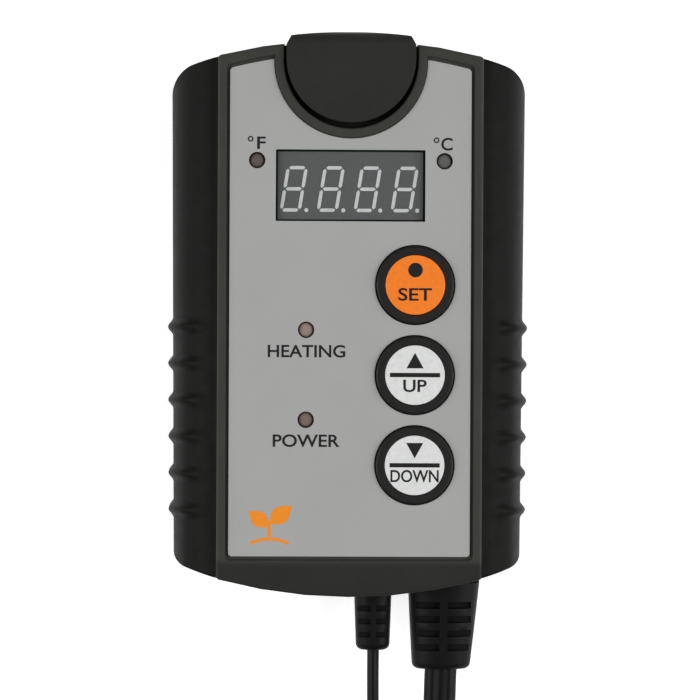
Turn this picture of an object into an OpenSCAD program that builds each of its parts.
// Plug-in thermostat controller for a heat mat: a two-part case on its back,
// front face up, with a flip-up hanging hook, three push buttons, a mains cord
// and a probe cord. Millimetres; +X right, +Y towards the hook, +Z out of the face.

/* [Case] */
// Height of the case from its back to the rim of the front face
case_d = 34; // [33:0.5:36]
// Half width of the case at its top end
half_w_top = 36.8; // [36:0.1:38]
// Half width of the case at its bottom end
half_w_bottom = 36.1; // [35.5:0.1:37]
// Furthest point of the case at the hook end
top_y = 64.4; // [64:0.1:65]
// Furthest point of the case at the cord end
bottom_y = -50; // [-51:0.1:-49.5]
// Radius of the arc that closes the hook end
top_arc_r = 110; // [100:1:125]
// Radius of the arc that closes the cord end
bottom_arc_r = 104; // [95:1:120]
// Thickness of the case walls
wall = 2; // [1.8:0.1:2.2]
// Height at which the front and back covers meet
split_z = 15; // [14:0.5:16]

/* [Face] */
// Half width of the raised rim round the face
rim_half_w = 27.4; // [27:0.1:28]
// Step from the rim down to the side shoulders
rim_step = 2.5; // [2:0.1:3]
// Half width of the grey face plate
plate_half_w = 24.8; // [24:0.1:25]
// Gap between the face plate and the rim
plate_gap = 0.65; // [0.5:0.05:0.8]
// Depth of the recess that the face plate lies in
recess_depth = 1; // [0.8:0.1:1.2]
// Thickness of the face plate
plate_t = 0.4; // [0.3:0.1:0.5]

/* [Grip ribs] */
// Ribs on each side
rib_count = 6; // [4:1:7]
// Centre of the rib nearest the hook
rib_first_y = 5.4; // [4:0.1:7]
// Distance from one rib to the next
rib_pitch = 7.57; // [7:0.01:8]
// How far the ribs stand proud of the side
rib_h = 0.9; // [0.7:0.1:1]

/* [Buttons] */
// Button centres, right of the middle
button_x = 13.35; // [13:0.05:13.6]
// Centre of the set button
set_y = 14.1; // [13.5:0.1:14.5]
// Distance from one button to the next
button_pitch = 18.5; // [18:0.1:19]
// Radius of a button cap
cap_r = 8; // [7.8:0.1:8.1]
// Radius of the coloured disc on the cap
disc_r = 6.15; // [5.5:0.05:6.5]
// Travel of a button
button_travel = 0.5; // [0.3:0.1:0.6]

/* [Display] */
// Width of the display window
window_w = 30.7; // [30.5:0.1:31]
// Height of the display window
window_h = 14.66; // [14.5:0.02:15]
// Centre of the display window
window_y = 34.45; // [34:0.05:35]
// Distance from one digit to the next
digit_pitch = 7.6; // [7.5:0.05:7.7]
// Height of a digit
digit_h = 9.4; // [9:0.1:9.8]

/* [Hook] */
// Centre of the hook plate's round end
hook_y = 60.65; // [60.5:0.05:60.8]
// Half width of the hook
hook_half_w = 13.3; // [13:0.1:13.35]
// Radius of the hanging eye
eye_r = 3; // [2.5:0.1:3.2]
// Radius of the hinge pin
pin_r = 1; // [0.9:0.05:1.1]

/* [Cords] */
// Width of the flat mains cord
flat_w = 6.8; // [6.4:0.1:7]
// Thickness of the flat mains cord
flat_t = 3.4; // [3.2:0.1:3.5]
// Diameter of the probe cord
probe_d = 2.5; // [2.4:0.1:2.6]

/* [Hidden] */

$fn = 64;
eps = 0.01;

black = [0.07, 0.07, 0.065];
board_green = [0.1, 0.32, 0.2];
steel = [0.75, 0.75, 0.76];

// plan outline of the case
corner_top_r = 6;
corner_bottom_r = 3;
shoulder_r = 11;
back_edge_r = 5;
shoulder_z = case_d - rim_step - 10.88;

// levels, from the back
floor_z = case_d - recess_depth;
roof_z = floor_z - 1.8;
plate_top_z = floor_z + plate_t;
display_board_z = 23.4;
board_t = 1.6;
display_board_top = display_board_z + board_t;
power_board_z = 5;
power_board_top = power_board_z + board_t;

// face plate
plate_bottom_y = -41.7;
plate_top_y = 61.6;
plate_arc_r = 98;
ring_r = 15.65;
ring_y = hook_y - 0.8;

// hook
pocket_r = 13.7;
pocket_z = 31.6;
hook_bottom_z = 31.9;
hook_top_z = 34.9;
flange_in_y = 63.55;
flange_out_y = 66;
hinge_y = 62.85;
hinge_z = 6;
barrel_r = 2.6;
barrel_room = 0.9;
hook_arc_r = 92;

// buttons and switches
button_gap = 0.25;
cap_top_z = plate_top_z + 0.8;
flange_r = 8.95;
flange_t = 1;
flange_top_z = roof_z - 0.1;
disc_t = 0.5;
switch_w = 6;
switch_h = 3.5;
stem_r = 1.75;
stem_top_z = 29.4;

// indicator lamps: x, y
led_r = 1.5;
led_hole_r = 1.68;
led_spots = [[-19.2, 39.55], [19.3, 39.55], [-9, 4.8], [-9, -13.65]];
led_top_z = 32.4;

// connectors at the cord end of the power board
terminals_x = 5;
terminal_pitch = 5.1;
connector_x = -6;

// case screws, power board screws and display board screws
case_screw_spots = [[-29.5, 49.5], [29.5, 49.5], [-29.5, -37], [29.5, -37]];
power_screw_spots = [[-23, 38], [23, 38], [-23, -28], [23, -28]];
display_screw_spots = [[-21.5, 46.5], [21.5, 46.5], [-21.5, -33], [21.5, -33]];

// strain reliefs
mains_x = 20.9;
probe_x = 6.2;
cord_z = 15;
mains_relief_end = -66;
probe_relief_end = -62.6;

// coils
coil_lift = 0.6;
mains_coil = [0, -140];
mains_coil_in = 28.2;
mains_coil_out = 42.9;
mains_coil_h = 13.8;
probe_coil = [0, -140];
probe_coil_in = 7.9;
probe_coil_out = 21.6;
probe_coil_h = 10.1;

// plug
plug_len = 36;
plug_deep = 22;
plug_wide = 26;
plug_rear = [0, -195.5, 13];

// route of the mains cord to its coil, and from the coil to its plug: x, y, z, twist
mains_lead = [
    [20.9, -66, 15, 0], [20.9, -67.5, 15, 0], [20.7, -71, 15, 0], [20.5, -75.5, 14.8, 0],
    [21, -83, 13.6, 15], [22.5, -92, 11.2, 40], [25.5, -101, 8.2, 65],
    [29.2, -109.5, 5.6, 82], [33.2, -116.8, 4.2, 90]
];
mains_tail = [
    [38.5, -154.5, 10.8, 90], [34.4, -165.8, 9.4, 90], [30.3, -177.1, 7.6, 90],
    [26.2, -184.5, 6.8, 90], [20.1, -190.4, 7.4, 90], [12.4, -194.2, 9.6, 90],
    [5, -195.4, 12.6, 90], [2, -195.5, 13, 90], [0, -195.5, 13, 90]
];

// route of the probe cord to its coil, and from the coil to its tip: x, y, z
probe_lead = [
    [6.2, -62.6, 15], [6.2, -64.5, 15], [6.1, -69, 14.9], [6, -75, 14.7], [6.4, -83, 14.7],
    [7.6, -91, 15.2], [9.6, -98, 15.9], [11.8, -104.5, 16.1], [13.6, -110.5, 16.1],
    [15.2, -116.3, 15.9], [17, -121.5, 14.6], [19.6, -126.2, 12.2],
    [22.4, -131.2, 9.2], [23.6, -137, 6.2], [23.2, -143, 4], [21.4, -148.6, 2.7],
    [17.8, -153.2, 2.1], [13, -155.6, 1.9]
];
probe_tail = [
    [13, -124.4, 9.4], [17.2, -129.2, 10.8], [19.7, -135.1, 12.4],
    [19.9, -139.5, 13.4], [18.3, -143.6, 14.1], [15, -146.9, 14.5], [10.6, -148, 14.6]
];

// ---- helpers ----

function arc(c, r, from, to, n) =
    [for (i = [0:n]) let(a = from + (to - from) * i / n) c + r * [cos(a), sin(a)]];
function flipped(points) =
    [for (i = [len(points) - 1:-1:0]) [-points[i][0], points[i][1]]];

// right-hand corner centres of the plan outline
top_c = [0, top_y - top_arc_r];
bottom_c = [0, bottom_y + bottom_arc_r];
corner_top_x = half_w_top - corner_top_r;
corner_top = [corner_top_x,
              top_c[1] + sqrt(pow(top_arc_r - corner_top_r, 2) - pow(corner_top_x, 2))];
corner_bottom_x = half_w_bottom - corner_bottom_r;
corner_bottom = [corner_bottom_x,
    bottom_c[1] - sqrt(pow(bottom_arc_r - corner_bottom_r, 2) - pow(corner_bottom_x, 2))];
top_a = atan2(corner_top[1] - top_c[1], corner_top[0]);
bottom_a = atan2(corner_bottom[1] - bottom_c[1], corner_bottom[0]);

function right_side(inset) = concat(
    arc(corner_bottom, corner_bottom_r - inset, bottom_a, 0, 4),
    arc(corner_top, corner_top_r - inset, 0, top_a, 6));
function outline(inset) = concat(
    right_side(inset),
    arc(top_c, top_arc_r - inset, top_a + 2, 178 - top_a, 14),
    flipped(right_side(inset)),
    arc(bottom_c, bottom_arc_r - inset, 182 - bottom_a, 358 + bottom_a, 14));

// half of the section across the case, from the back edge to the rim
shoulder_c = [half_w_top - shoulder_r, shoulder_z];
function half_section(inset) = concat(
    arc([half_w_top - back_edge_r, back_edge_r], back_edge_r - inset, -90, 0, 5),
    arc(shoulder_c, shoulder_r - inset, 0,
        acos((rim_half_w - inset - shoulder_c[0]) / (shoulder_r - inset)), 10),
    [[rim_half_w - inset, case_d - inset]]);

module across(length) {
    rotate([90, 0, 0]) linear_extrude(length, center = true) children();
}

module case_solid(inset) {
    intersection() {
        linear_extrude(case_d) polygon(outline(inset));
        across(160) polygon(concat(half_section(inset), flipped(half_section(inset))));
    }
}

// grip ribs: the side's own section pushed out, in three steps to a blunt tip
module ribs() {
    steps = [[0.45, 3], [0.75, 1.9], [1, 0.9]];
    for (side = [0, 1], i = [0:rib_count - 1], step = steps)
        mirror([side, 0, 0])
            translate([step[0] * rib_h, rib_first_y - i * rib_pitch, 0])
                intersection() {
                    across(step[1])
                        polygon(concat(half_section(0), [[half_w_top - 8, case_d - 4]]));
                    translate([31, -5, 3.5]) cube([10, 10, 25]);
                }
}

module below(z) { translate([-60, -80, -1]) cube([120, 160, z + 1]); }
module above(z) { translate([-60, -80, z]) cube([120, 160, 60]); }

module slab(low, high) { translate(low) cube(high - low); }

module rod(r, length, at) { translate(at) cylinder(r = r, h = length); }

module across_x(r, length, y, z) {
    translate([-length / 2, y, z]) rotate([0, 90, 0]) cylinder(r = r, h = length);
}

// a tube swept along points x, y, z, twist, with an oval section
function unit(v) = v / norm(v);
function xyz(p) = [p[0], p[1], p[2]];
function heading(route, i) =
    unit(xyz(route[min(i + 1, len(route) - 1)]) - xyz(route[max(i - 1, 0)]));
function ring(p, h, twist, w, t, sides) =
    let(s = unit(cross(h, [0, 0, 1])), n = cross(s, h),
        u = s * cos(twist) + n * sin(twist), v = n * cos(twist) - s * sin(twist))
    [for (k = [0:sides - 1]) let(a = 360 * (k + 0.5) / sides)
        p + u * (w / 2 * cos(a)) + v * (t / 2 * sin(a))];
module tube(route, w, t, sides) {
    n = len(route);
    twisted = len(route[0]) > 3;
    points = [for (i = [0:n - 1])
        each ring(xyz(route[i]), heading(route, i), twisted ? route[i][3] : 0, w, t, sides)];
    walls = [for (i = [0:n - 2], k = [0:sides - 1])
        let(a = i * sides + k, b = i * sides + (k + 1) % sides)
        each [[a, a + sides, b + sides], [a, b + sides, b]]];
    near = [for (k = [0:sides - 1]) k];
    far = [for (k = [sides - 1:-1:0]) (n - 1) * sides + k];
    polyhedron(points, concat(walls, [near, far]));
}

// ---- case ----

module hook_pocket() {
    translate([0, ring_y, pocket_z]) cylinder(r = pocket_r, h = 10);
    slab([-pocket_r, ring_y, pocket_z], [pocket_r, 80, 50]);
    slab([-pocket_r, flange_in_y - 0.3, -1], [pocket_r, 80, 50]);
    across_x(barrel_r + barrel_room, 2 * pocket_r, hinge_y, hinge_z);
}

module plate_outline(grow) {
    intersection() {
        translate([0, plate_top_y - plate_arc_r]) circle(r = plate_arc_r + grow, $fn = 360);
        translate([-plate_half_w - grow, plate_bottom_y - grow])
            square([2 * (plate_half_w + grow), 120]);
    }
}

module face_openings(r_grow) {
    slab([-window_w / 2, window_y - window_h / 2, 20], [window_w / 2, window_y + window_h / 2, 50]);
    for (p = led_spots) rod(led_hole_r, 30, [p[0], p[1], 20]);
    for (i = [0:2]) rod(cap_r + r_grow, 30, [button_x, set_y - i * button_pitch, 20]);
}

// necks of the strain reliefs, which the end wall grips
module mains_neck(grow) {
    translate([mains_x, -45, cord_z]) rotate([90, 0, 0])
        linear_extrude(12, center = true) square([11 + grow, 8 + grow], center = true);
}

module probe_neck(grow) {
    translate([probe_x, -46, cord_z]) rotate([90, 0, 0])
        linear_extrude(10, center = true) square([5 + grow, 5 + grow], center = true);
}

module front_cover() {
    color(black) difference() {
        union() {
            difference() {
                union() { case_solid(0); ribs(); }
                intersection() { case_solid(wall); below(roof_z); }
            }
            intersection() {
                case_solid(0);
                union() {
                    slab([-16, 44, pocket_z - 2], [16, 70, case_d]);
                    slab([-16, 60.4, 0], [16, 70, case_d]);
                    for (p = case_screw_spots) rod(3.2, case_d, [p[0], p[1], 0]);
                    for (p = display_screw_spots)
                        rod(2.6, case_d - display_board_top, [p[0], p[1], display_board_top]);
                }
            }
        }
        below(split_z);
        hook_pocket();
        translate([0, 0, floor_z]) linear_extrude(5) difference() {
            plate_outline(plate_gap);
            translate([0, ring_y]) circle(r = ring_r);
            translate([-ring_r, ring_y]) square([2 * ring_r, 20]);
        }
        face_openings(button_gap);
        mains_neck(0.02);
        probe_neck(0.02);
        for (p = case_screw_spots) rod(1.25, 11, [p[0], p[1], split_z - eps]);
        for (p = display_screw_spots) rod(1, 5, [p[0], p[1], display_board_top - eps]);
    }
}

module back_cover() {
    color(black) difference() {
        union() {
            difference() {
                union() { case_solid(0); ribs(); }
                intersection() { case_solid(wall); above(wall); }
            }
            intersection() {
                case_solid(0);
                union() {
                    slab([-17.5, 57.6, 0], [17.5, 70, case_d]);
                    for (p = case_screw_spots) rod(3.6, case_d, [p[0], p[1], 0]);
                    for (p = power_screw_spots) rod(3, power_board_z, [p[0], p[1], 0]);
                }
            }
        }
        above(split_z);
        hook_pocket();
        mains_neck(0.02);
        probe_neck(0.02);
        across_x(pin_r, 34, hinge_y, hinge_z);
        for (p = case_screw_spots) {
            rod(3, 3.2 + eps, [p[0], p[1], -eps]);
            rod(1.7, 20, [p[0], p[1], 0]);
        }
        for (p = power_screw_spots) rod(1.25, 4, [p[0], p[1], 2.6]);
        // shadow line where the covers meet
        difference() {
            slab([-60, -80, split_z - 0.5], [60, 80, split_z + 1]);
            linear_extrude(40) polygon(outline(0.5));
        }
    }
}

module face_plate() {
    color([0.58, 0.59, 0.58]) translate([0, 0, floor_z]) linear_extrude(plate_t)
        difference() {
            plate_outline(0);
            translate([0, ring_y]) circle(r = ring_r + 0.1);
            translate([-ring_r - 0.1, ring_y]) square([2 * ring_r + 0.2, 20]);
            translate([-window_w / 2, window_y - window_h / 2]) square([window_w, window_h]);
            for (p = led_spots) translate(p) circle(r = led_hole_r);
            for (i = [0:2])
                translate([button_x, set_y - i * button_pitch]) circle(r = cap_r + button_gap);
        }
}

// ---- hook ----

module hanging_hook() {
    color(black) difference() {
        union() {
            intersection() {
                union() {
                    translate([0, hook_y, hook_bottom_z])
                        cylinder(r = hook_half_w, h = hook_top_z - hook_bottom_z);
                    slab([-hook_half_w, hook_y, hook_bottom_z], [hook_half_w, 70, hook_top_z]);
                    slab([-hook_half_w, flange_in_y, hinge_z], [hook_half_w, 70, hook_top_z]);
                }
                translate([0, flange_out_y - hook_arc_r, 0])
                    cylinder(r = hook_arc_r, h = 60, $fn = 360);
            }
            across_x(barrel_r, 2 * hook_half_w, hinge_y, hinge_z);
        }
        across_x(pin_r + 0.04, 60, hinge_y, hinge_z);
        translate([0, 80, 19]) rotate([90, 0, 0]) cylinder(r = eye_r, h = 30);
        // the outer edge of the bend is rounded over
        difference() {
            slab([-20, flange_out_y - 2.4, hook_top_z - 2], [20, 70, hook_top_z + 1]);
            across_x(2, 60, flange_out_y - 2.4, hook_top_z - 2);
        }
    }
}

module hinge_pin() { color(steel) across_x(pin_r, 34, hinge_y, hinge_z); }

// ---- buttons ----

module button_cap(y) {
    color(black) difference() {
        union() {
            rod(cap_r, cap_top_z - flange_top_z + flange_t,
                [button_x, y, flange_top_z - flange_t]);
            rod(flange_r, flange_t, [button_x, y, flange_top_z - flange_t]);
            rod(2, flange_top_z - flange_t - stem_top_z + eps, [button_x, y, stem_top_z]);
        }
        rod(disc_r, 5, [button_x, y, cap_top_z - 0.3]);
    }
}

module button_disc(y, tint) {
    color(tint) rod(disc_r, disc_t, [button_x, y, cap_top_z - 0.3]);
}

module switch_stem(y) {
    color([0.15, 0.15, 0.15]) rod(stem_r, stem_top_z - 27.6, [button_x, y, 27.6]);
}

module switch_bodies() {
    color([0.6, 0.6, 0.62]) for (i = [0:2])
        translate([button_x, set_y - i * button_pitch, display_board_top]) difference() {
            slab([-switch_w / 2, -switch_w / 2, 0], [switch_w / 2, switch_w / 2, switch_h]);
            rod(stem_r + 0.1, 5, [0, 0, 1.9]);
        }
}

module set_button_cap() { button_cap(set_y); }
module up_button_cap() { button_cap(set_y - button_pitch); }
module down_button_cap() { button_cap(set_y - 2 * button_pitch); }
module set_button_disc() { button_disc(set_y, [0.96, 0.5, 0.12]); }
module up_button_disc() { button_disc(set_y - button_pitch, [0.9, 0.9, 0.89]); }
module down_button_disc() { button_disc(set_y - 2 * button_pitch, [0.9, 0.9, 0.89]); }
module set_switch_stem() { switch_stem(set_y); }
module up_switch_stem() { switch_stem(set_y - button_pitch); }
module down_switch_stem() { switch_stem(set_y - 2 * button_pitch); }

// ---- display and lamps ----

display_top_z = 32.2;

module display_module() {
    color([0.3, 0.3, 0.3])
        slab([-15.05, window_y - 7.03, display_board_top], [15.05, window_y + 7.03, display_top_z]);
}

// one figure of seven bars and its point, leaning like a printed digit
bar_w = 0.85;
digit_w = 4.3;
module digit() {
    lean = 0.16;
    half_h = digit_h / 2 - bar_w / 2;
    half_w = digit_w / 2 - bar_w / 2;
    multmatrix([[1, lean, 0, 0], [0, 1, 0, 0], [0, 0, 1, 0], [0, 0, 0, 1]]) {
        for (y = [-half_h, 0, half_h])
            translate([0, y]) square([digit_w - 2 * bar_w - 0.2, bar_w], center = true);
        for (x = [-half_w, half_w], y = [-half_h / 2, half_h / 2])
            translate([x, y]) square([bar_w, half_h - 0.2], center = true);
    }
    translate([digit_w / 2 + 0.25, -half_h]) circle(r = 0.55, $fn = 24);
}

module display_segments() {
    color([0.78, 0.79, 0.78]) for (i = [0:3])
        translate([(i - 1.5) * digit_pitch - 0.3, window_y, display_top_z])
            linear_extrude(0.08) digit();
}

module led(i, tint) {
    color(tint) translate([led_spots[i][0], led_spots[i][1], 0]) {
        rod(led_r, led_top_z - led_r - 27.2, [0, 0, 27.2]);
        intersection() {
            translate([0, 0, led_top_z - led_r]) sphere(r = led_r);
            rod(3, 10, [0, 0, led_top_z - led_r]);
        }
        rod(1.9, 1, [0, 0, 27.2]);
        for (x = [-1.27, 1.27])
            slab([x - 0.25, -0.25, display_board_top], [x + 0.25, 0.25, 27.2]);
    }
}

module fahrenheit_led() { led(0, [0.6, 0.5, 0.47]); }
module celsius_led() { led(1, [0.5, 0.5, 0.49]); }
module heating_led() { led(2, [0.6, 0.5, 0.47]); }
module power_led() { led(3, [0.6, 0.5, 0.47]); }

// ---- display board ----

module display_board() {
    color(board_green) difference() {
        slab([-24.5, -36, display_board_z], [24.5, 50, display_board_top]);
        for (p = display_screw_spots) rod(1.1, 5, [p[0], p[1], display_board_z - 1]);
    }
}

module microcontroller() {
    color([0.12, 0.12, 0.12]) {
        slab([-14, 14, display_board_top], [-6.5, 24, display_board_top + 2]);
        for (i = [0:6], x = [-15, -6.5])
            slab([x, 14.9 + i * 1.27, display_board_top], [x + 1, 15.3 + i * 1.27, display_board_top + 1]);
    }
}

module resonator() {
    color(steel) slab([-20, 12, display_board_top], [-16.5, 20, display_board_top + 3]);
}

module board_link() {
    color([0.2, 0.2, 0.2]) {
        slab([-10, 37, power_board_top], [10, 39.5, power_board_top + 8.5]);
        slab([-10, 37, display_board_z - 2.5], [10, 39.5, display_board_z]);
        for (i = [0:7])
            slab([-9.2 + i * 2.54, 37.9, power_board_top + 8], [-8.6 + i * 2.54, 38.5, display_board_z - 2]);
    }
}

module display_board_screws() {
    color(steel) for (p = display_screw_spots) {
        rod(1, 6.2, [p[0], p[1], display_board_z]);
        rod(1.9, 1.3, [p[0], p[1], display_board_z - 1.3]);
    }
}

// ---- power board ----

module power_board() {
    color(board_green) difference() {
        slab([-27, -32, power_board_z], [27, 42, power_board_top]);
        for (p = power_screw_spots) rod(1.4, 5, [p[0], p[1], power_board_z - 1]);
    }
}

module on_board(x, y) { translate([x, y, power_board_top]) children(); }

module relay() {
    color([0.15, 0.3, 0.6]) on_board(-20, -14) cube([15.4, 19, 15.3]);
}

module transformer_core() {
    color([0.35, 0.35, 0.37]) on_board(12, 20) difference() {
        slab([-12, -10, 0], [12, 10, 15.5]);
        for (x = [-8, 3]) slab([x, -11, 3.5], [x + 5, 11, 12]);
    }
}

module transformer_winding() {
    color([0.8, 0.7, 0.25]) on_board(12, 20) difference() {
        slab([-7.9, -12.5, 3.6], [7.9, 12.5, 11.9]);
        slab([-3.1, -10.1, 0], [3.1, 10.1, 20]);
    }
}

module film_capacitor() {
    color([0.85, 0.75, 0.2]) on_board(-22, 14) cube([18, 8.5, 14]);
}

module filter_capacitor() {
    color([0.12, 0.15, 0.35]) on_board(19, 1) cylinder(r = 4, h = 12.5);
}

module varistor() {
    color([0.15, 0.35, 0.7]) on_board(20, -10) {
        translate([0, 1.8, 6.2]) rotate([90, 0, 0]) cylinder(r = 5, h = 3.6);
        for (x = [-2.5, 2.5]) slab([x - 0.4, -0.4, 0], [x + 0.4, 0.4, 4]);
    }
}

module fuse() {
    color([0.8, 0.85, 0.85]) on_board(4.5, -8) translate([0, 10, 4.2]) rotate([90, 0, 0])
        cylinder(r = 2.5, h = 20);
}

module fuse_clips() {
    color(steel) on_board(4.5, -8) for (y = [-7, 7]) difference() {
        slab([-3.3, y - 2, 0], [3.3, y + 2, 5.5]);
        translate([0, 15, 4.2]) rotate([90, 0, 0]) cylinder(r = 2.5, h = 30);
    }
}

module rectifier_diodes() {
    color([0.13, 0.13, 0.13]) for (i = [0:3]) on_board(-20 + i * 4, 28) {
        translate([0, 2.6, 1.8]) rotate([90, 0, 0]) cylinder(r = 1.35, h = 5.2);
        for (y = [-3.4, 2.6]) slab([-0.3, y, 0], [0.3, y + 0.8, 2]);
    }
}

module voltage_regulator() {
    color([0.13, 0.13, 0.13]) on_board(-23, 9) slab([-2.3, -1.8, 0], [2.3, 1.8, 5.5]);
}

module mains_terminals() {
    color([0.1, 0.45, 0.25]) on_board(terminals_x, -31) difference() {
        cube([15.3, 8, 10]);
        for (i = [0:2]) {
            slab([0.8 + i * terminal_pitch, -1, 1.2], [4.3 + i * terminal_pitch, 5, 5]);
            rod(1.9, 3, [2.55 + i * terminal_pitch, 4.5, 8]);
        }
    }
}

module terminal_screws() {
    color(steel) on_board(terminals_x, -31) for (i = [0:2]) difference() {
        rod(1.8, 1.4, [2.55 + i * terminal_pitch, 4.5, 8]);
        slab([2.25 + i * terminal_pitch, 2, 9], [2.85 + i * terminal_pitch, 7, 10]);
    }
}

module probe_connector() {
    color([0.9, 0.9, 0.87]) on_board(connector_x, -31) difference() {
        cube([7.5, 5.8, 7]);
        slab([0.9, -1, 2.2], [6.6, 4.6, 6]);
    }
}

// insulated cores from each strain relief to its connector on the board
module mains_wires() {
    color([0.75, 0.2, 0.15]) for (i = [0:2]) {
        from_x = mains_x + (i - 1) * 2.6;
        to_x = terminals_x + 2.55 + i * terminal_pitch;
        tube([[from_x, -41.1, cord_z], [from_x * 0.7 + to_x * 0.3, -38.9, 14.2],
              [from_x * 0.2 + to_x * 0.8, -36, 11.4], [to_x, -33, 9.9], [to_x, -27, 9.7]],
             1.9, 1.9, 8);
    }
}

module probe_wires() {
    color([0.15, 0.15, 0.15]) for (i = [-1, 1]) {
        to_x = connector_x + 3.75 + i * 1.3;
        tube([[probe_x + i * 0.8, -41.9, cord_z], [probe_x - 2 + i, -39.2, 14],
              [to_x + 2, -35, 11.2], [to_x, -31.5, 10.7], [to_x, -26.6, 10.7]],
             1.1, 1.1, 8);
    }
}

module power_board_screws() {
    color(steel) for (p = power_screw_spots) {
        rod(1.25, 4, [p[0], p[1], 2.6]);
        rod(2.4, 1.6, [p[0], p[1], power_board_top]);
    }
}

module case_screws() {
    color(steel) for (p = case_screw_spots) difference() {
        union() {
            rod(1.25, 21.2, [p[0], p[1], 3.2]);
            rod(2.75, 2, [p[0], p[1], 1.2]);
        }
        for (turn = [0, 90]) translate([p[0], p[1], 1]) rotate(turn)
            slab([-1.6, -0.35, 0], [1.6, 0.35, 1.2]);
    }
}

// ---- strain reliefs ----

// a lozenge of the given width and depth lying across Y
module oblong(w, d, from_y, length) {
    translate([0, from_y, 0]) rotate([90, 0, 0]) linear_extrude(length)
        hull() for (x = [-1, 1]) translate([x * (w - d) / 2, 0]) circle(r = d / 2, $fn = 32);
}

module outside_case() {
    difference() { children(); linear_extrude(40) polygon(outline(-0.02)); }
}

module inside_case() {
    intersection() { children(); linear_extrude(40) polygon(outline(wall + 0.02)); }
}

module mains_strain_relief() {
    color(black) {
        intersection() {
            mains_neck(0);
            slab([-60, -50, 0], [60, -42, 40]);
        }
        inside_case() translate([mains_x, 0, cord_z]) slab([-7.2, -48, -6], [7.2, -42, 6]);
        outside_case() translate([mains_x, 0, cord_z]) {
            oblong(14.4, 12, -40, 11.4);
            oblong(9, 8.4, -45, 21);
            for (i = [0:3]) oblong(14 - i * 0.6, 11.6 - i * 0.7, -52.8 - i * 3.4, 2.3);
        }
    }
}

module probe_strain_relief() {
    color(black) {
        intersection() {
            probe_neck(0);
            slab([-60, -51, 0], [60, -42.5, 40]);
        }
        inside_case() translate([probe_x, 0, cord_z]) slab([-4, -49, -4], [4, -42.6, 4]);
        outside_case() translate([probe_x, 0, cord_z]) {
            oblong(7.5, 7.4, -44, 8);
            oblong(4.2, 4.1, -48, 14.6);
            for (i = [0:2]) oblong(7.2 - i * 0.3, 7.1 - i * 0.3, -53.3 - i * 3, 1.9);
        }
    }
}

// ---- cords ----

module power_cord() {
    color([0.05, 0.05, 0.05]) {
        tube(mains_lead, flat_w, flat_t, 10);
        tube(mains_tail, flat_w, flat_t, 10);
    }
}

module coil_ring(c, r_in, r_out, h) {
    translate([c[0], c[1], coil_lift]) difference() {
        cylinder(r = r_out, h = h);
        translate([0, 0, -1]) cylinder(r = r_in, h = h + 2);
    }
}

// bands round a coil, at angles
module coil_ties(c, r_in, r_out, h, turns) {
    t = coil_lift;
    for (a = turns) translate([c[0], c[1], 0]) rotate(a) difference() {
        slab([r_in - t - 0.4, -2, 0], [r_out + t, 2, h + 2 * t]);
        slab([r_in - 0.4, -3, t], [r_out, 3, h + t]);
    }
}

module power_cord_coil() {
    color([0.05, 0.05, 0.05])
        coil_ring(mains_coil, mains_coil_in, mains_coil_out, mains_coil_h);
}

module power_coil_ties() {
    color([0.1, 0.1, 0.1])
        coil_ties(mains_coil, mains_coil_in, mains_coil_out, mains_coil_h, [180, 270]);
}

module probe_cord() {
    color([0.05, 0.05, 0.05]) {
        tube(probe_lead, probe_d, probe_d, 8);
        tube(probe_tail, probe_d, probe_d, 8);
    }
}

module probe_cord_coil() {
    color([0.05, 0.05, 0.05])
        coil_ring(probe_coil, probe_coil_in, probe_coil_out, probe_coil_h);
}

module probe_coil_ties() {
    color([0.1, 0.1, 0.1])
        coil_ties(probe_coil, probe_coil_in, probe_coil_out, probe_coil_h, [80, 260]);
}

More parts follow.
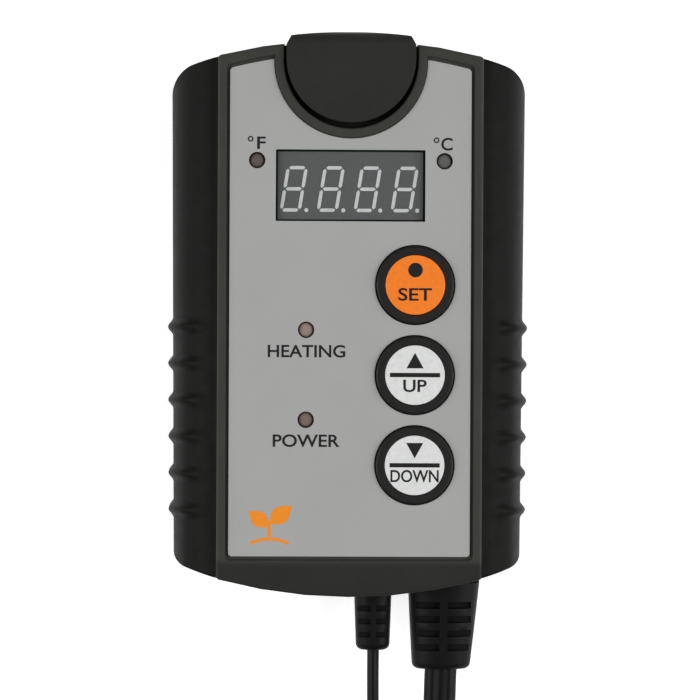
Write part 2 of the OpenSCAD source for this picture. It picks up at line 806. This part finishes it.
// plug with the mat's outlet on its back; blades point away from the case
module power_plug() {
    low = plug_rear - [plug_len, plug_deep / 2, plug_wide / 2];
    high = plug_rear + [0, plug_deep / 2, plug_wide / 2];
    color([0.06, 0.06, 0.06]) difference() {
        slab(low, high);
        for (z = [-6.35, 6.35])
            slab([low[0] + 11, high[1] - 12, plug_rear[2] + z - 1.1],
                 [low[0] + 19, high[1] + 1, plug_rear[2] + z + 1.1]);
        for (z = [-6.35, 6.35])
            slab([low[0] + 11.8, low[1] - 1, plug_rear[2] + z - 0.75],
                 [low[0] + 18.2, low[1] + 4, plug_rear[2] + z + 0.75]);
    }
}

module plug_blades() {
    low_y = plug_rear[1] - plug_deep / 2;
    x = plug_rear[0] - plug_len;
    color([0.8, 0.7, 0.4]) for (z = [-6.35, 6.35]) difference() {
        slab([x + 11.8, low_y - 16.5, plug_rear[2] + z - 0.75],
             [x + 18.2, low_y + 4, plug_rear[2] + z + 0.75]);
        translate([x + 15, low_y - 12, 0]) cylinder(r = 1.6, h = 60);
    }
}

module outlet_contacts() {
    high_y = plug_rear[1] + plug_deep / 2;
    x = plug_rear[0] - plug_len;
    color([0.8, 0.7, 0.4]) for (z = [-6.35, 6.35]) difference() {
        slab([x + 11, high_y - 12, plug_rear[2] + z - 1.1],
             [x + 19, high_y - 2, plug_rear[2] + z + 1.1]);
        slab([x + 10, high_y - 11.4, plug_rear[2] + z - 0.75],
             [x + 20, high_y, plug_rear[2] + z + 0.75]);
    }
}

module probe_tip() {
    color(steel) translate(probe_tail[len(probe_tail) - 1]) rotate([0, -90, 0]) {
        cylinder(r = 3, h = 26);
        translate([0, 0, 26]) intersection() {
            sphere(r = 3);
            cylinder(r = 4, h = 4);
        }
    }
}

// ---- assembly ----

front_cover();
back_cover();
face_plate();
hanging_hook();
hinge_pin();
set_button_cap();
up_button_cap();
down_button_cap();
set_button_disc();
up_button_disc();
down_button_disc();
set_switch_stem();
up_switch_stem();
down_switch_stem();
switch_bodies();
display_module();
display_segments();
fahrenheit_led();
celsius_led();
heating_led();
power_led();
display_board();
microcontroller();
resonator();
board_link();
power_board();
relay();
transformer_core();
transformer_winding();
film_capacitor();
filter_capacitor();
varistor();
fuse();
fuse_clips();
rectifier_diodes();
voltage_regulator();
mains_terminals();
terminal_screws();
probe_connector();
mains_wires();
probe_wires();
power_board_screws();
display_board_screws();
case_screws();
mains_strain_relief();
probe_strain_relief();
power_cord();
power_cord_coil();
power_coil_ties();
power_plug();
plug_blades();
outlet_contacts();
probe_cord();
probe_cord_coil();
probe_coil_ties();
probe_tip();
